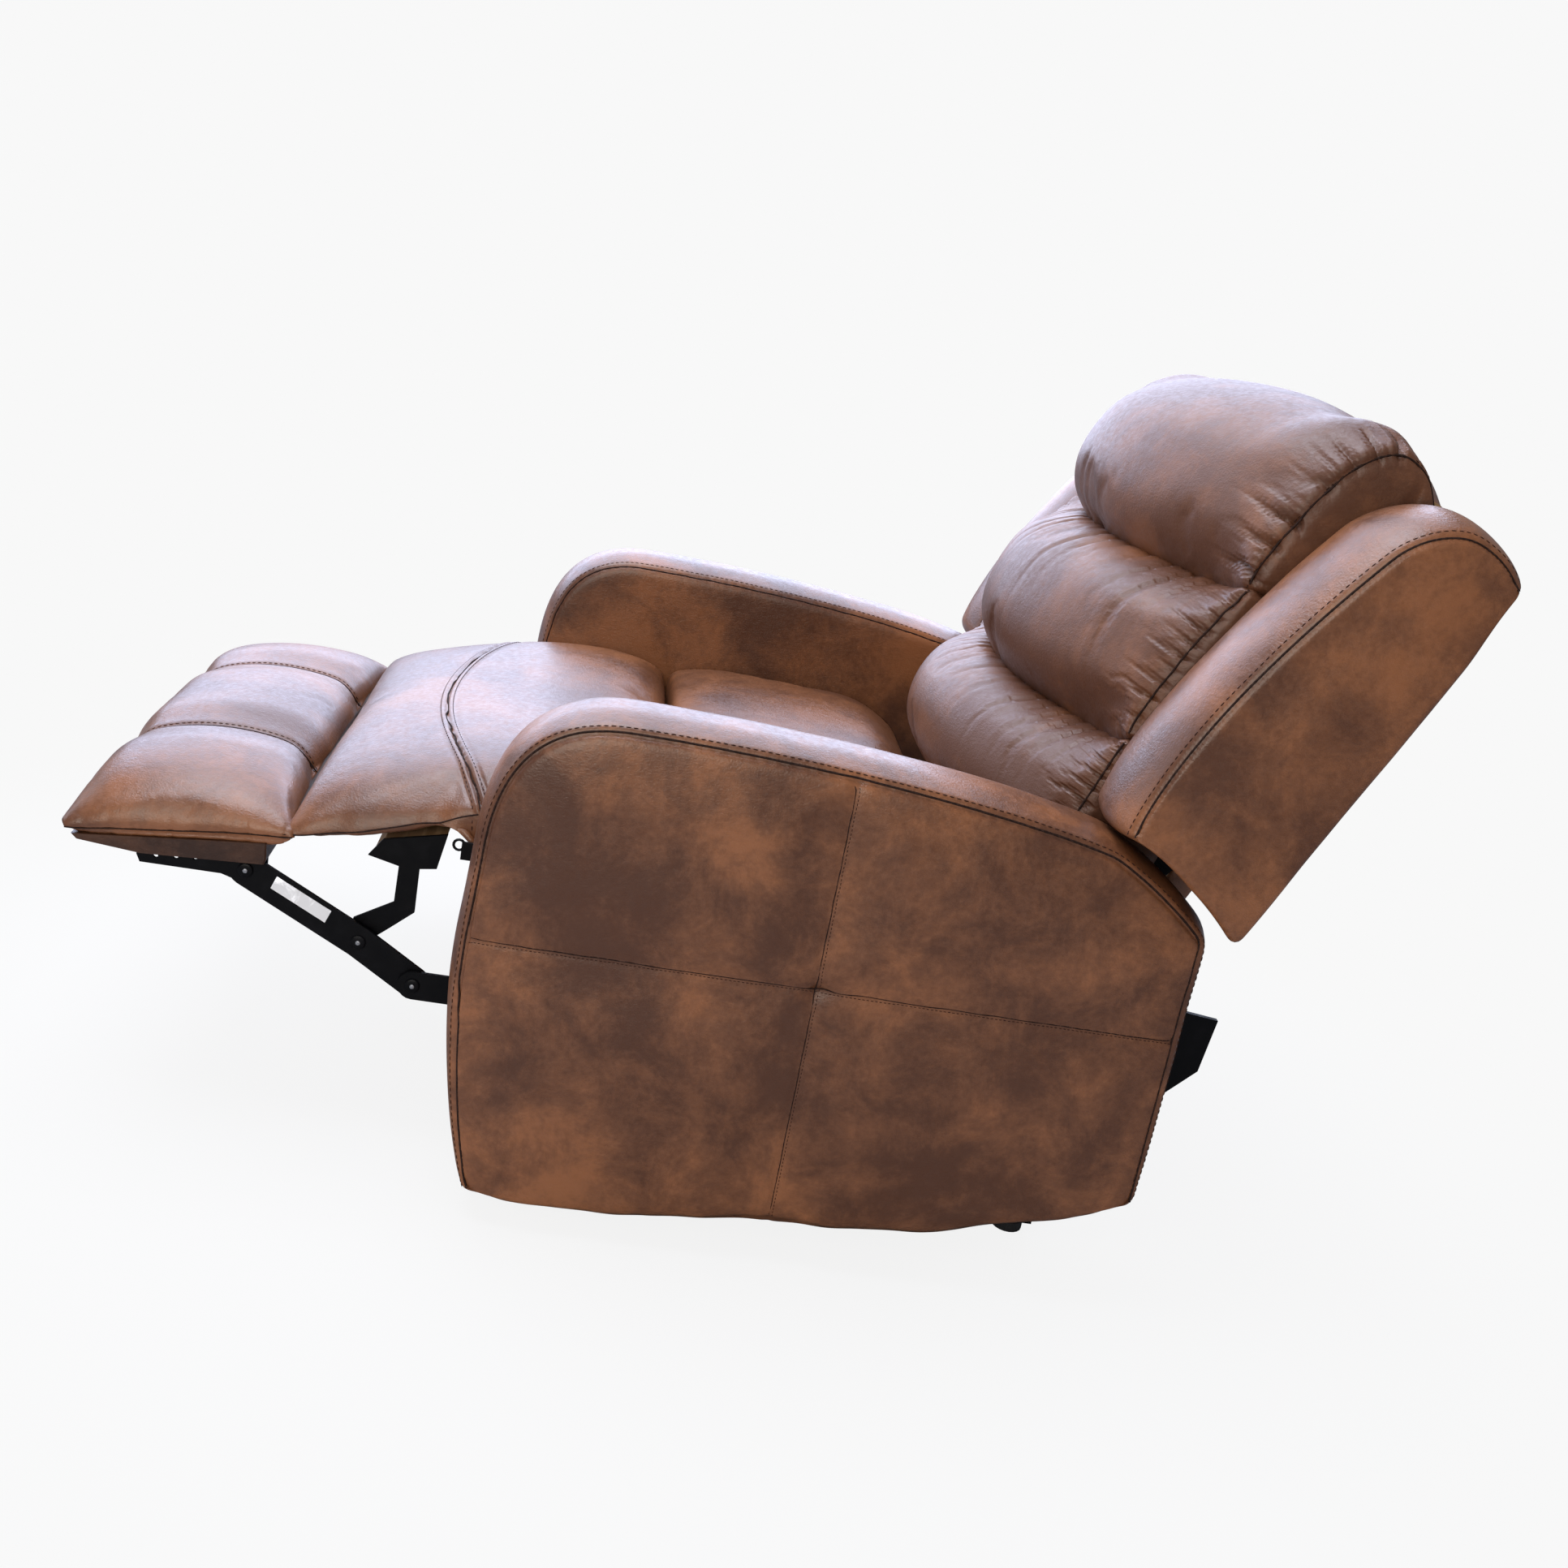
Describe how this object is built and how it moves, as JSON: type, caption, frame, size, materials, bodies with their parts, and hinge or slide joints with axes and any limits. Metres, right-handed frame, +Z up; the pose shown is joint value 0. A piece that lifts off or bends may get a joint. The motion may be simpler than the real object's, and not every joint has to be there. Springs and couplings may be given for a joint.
{
  "type": "recliner armchair",
  "caption": "Upholstered recliner armchair in brown leatherette: three stacked back pillows, padded arms, chaise leg rest on steel links.",
  "frame": {"origin": "centre of the bounding box's underside, on the floor", "axes": "+Z up, the front and the leg rest towards -Y, +X the sitter's left"},
  "size_m": [0.972, 1.417, 0.9788],
  "materials": {
    "leather": "satin",
    "plywood": "matte",
    "black_steel": "satin",
    "spring_steel": "satin",
    "plastic": "satin"
  },
  "bodies": {
    "chassis": {"arm_band_l": "leather", "arm_band_r": "leather", "arm_frame_l": "plywood", "arm_frame_r": "plywood", "arm_inner_panel_l": "leather", "arm_inner_panel_r": "leather", "arm_outer_panel_l": "leather", "arm_outer_panel_r": "leather", "arm_rear_bracket_l": "black_steel", "arm_rear_bracket_r": "black_steel", "base_cross_front": "black_steel", "base_cross_rear": "black_steel", "base_rail_l": "black_steel", "base_rail_r": "black_steel", "chaise_pad": "leather", "cover_ring_l": "black_steel", "cover_ring_r": "black_steel", "glide_front_l": "plastic", "glide_front_r": "plastic", "glide_rear_l": "plastic", "glide_rear_r": "plastic", "release_bezel": "plastic", "seat_cushion": "leather", "seat_front_roll": "leather", "seat_rail_front": "plywood", "seat_rail_l": "plywood", "seat_rail_r": "plywood", "seat_rail_rear": "plywood", "seat_spring_1": "spring_steel", "seat_spring_2": "spring_steel", "seat_spring_3": "spring_steel", "side_plate_l": "black_steel", "side_plate_r": "black_steel"},
    "back": {"back_board": "plywood", "back_bracket_l": "black_steel", "back_bracket_r": "black_steel", "back_cover": "leather", "head_pillow": "leather", "low_pillow": "leather", "mid_pillow": "leather", "wing_body_l": "leather", "wing_body_r": "leather", "wing_outer_panel_l": "leather", "wing_outer_panel_r": "leather"},
    "chaise_support": {"chaise_board": "plywood", "crank_l": "black_steel", "crank_r": "black_steel"},
    "drive_links": {"elbow_pin_l": "black_steel", "elbow_pin_r": "black_steel", "first_link_l": "black_steel", "first_link_r": "black_steel"},
    "leg_rest": {"ottoman_board": "plywood", "ottoman_bracket_l": "black_steel", "ottoman_bracket_r": "black_steel", "ottoman_pad": "leather"},
    "lever": {"release_lever": "plastic"},
    "front_links": {"second_link_l": "black_steel", "second_link_r": "black_steel"}
  },
  "joints": [
    {"name": "leg_rest_drive", "type": "hinge", "parent": "chassis", "child": "drive_links", "pos_m": [0, -0.11049, 0.288], "axis": [1, 0, 0], "range_deg": [0, 68.6], "deforming": ["chaise_pad"]},
    {"name": "leg_rest_elbow", "type": "hinge", "parent": "drive_links", "child": "front_links", "pos_m": [0, -0.31949, 0.204], "axis": [1, 0, 0], "range_deg": [-100, 0]},
    {"name": "leg_rest_tilt", "type": "hinge", "parent": "front_links", "child": "leg_rest", "pos_m": [0, -0.51649, 0.312], "axis": [1, 0, 0], "range_deg": [0, 121.4]},
    {"name": "chaise_support_tilt", "type": "hinge", "parent": "front_links", "child": "chaise_support", "pos_m": [0, -0.38549, 0.245], "axis": [1, 0, 0], "range_deg": [0, 31.4]},
    {"name": "back_recline", "type": "hinge", "parent": "chassis", "child": "back", "pos_m": [0, 0.27451, 0.258], "axis": [1, 0, 0], "range_deg": [-25, 12]},
    {"name": "release_lever_pull", "type": "hinge", "parent": "chassis", "child": "lever", "pos_m": [-0.483, -0.04449, 0.3], "axis": [-1, 0, 0], "range_deg": [0, 35], "stiffness_Nm_per_rad": 1, "springref_deg": -17.19}
  ],
  "couplings": [
    {"joint": "leg_rest_elbow", "follows": "leg_rest_drive", "ratio": -1.4577},
    {"joint": "leg_rest_tilt", "follows": "leg_rest_drive", "ratio": 1.7697},
    {"joint": "chaise_support_tilt", "follows": "leg_rest_drive", "ratio": 0.45773}
  ]
}
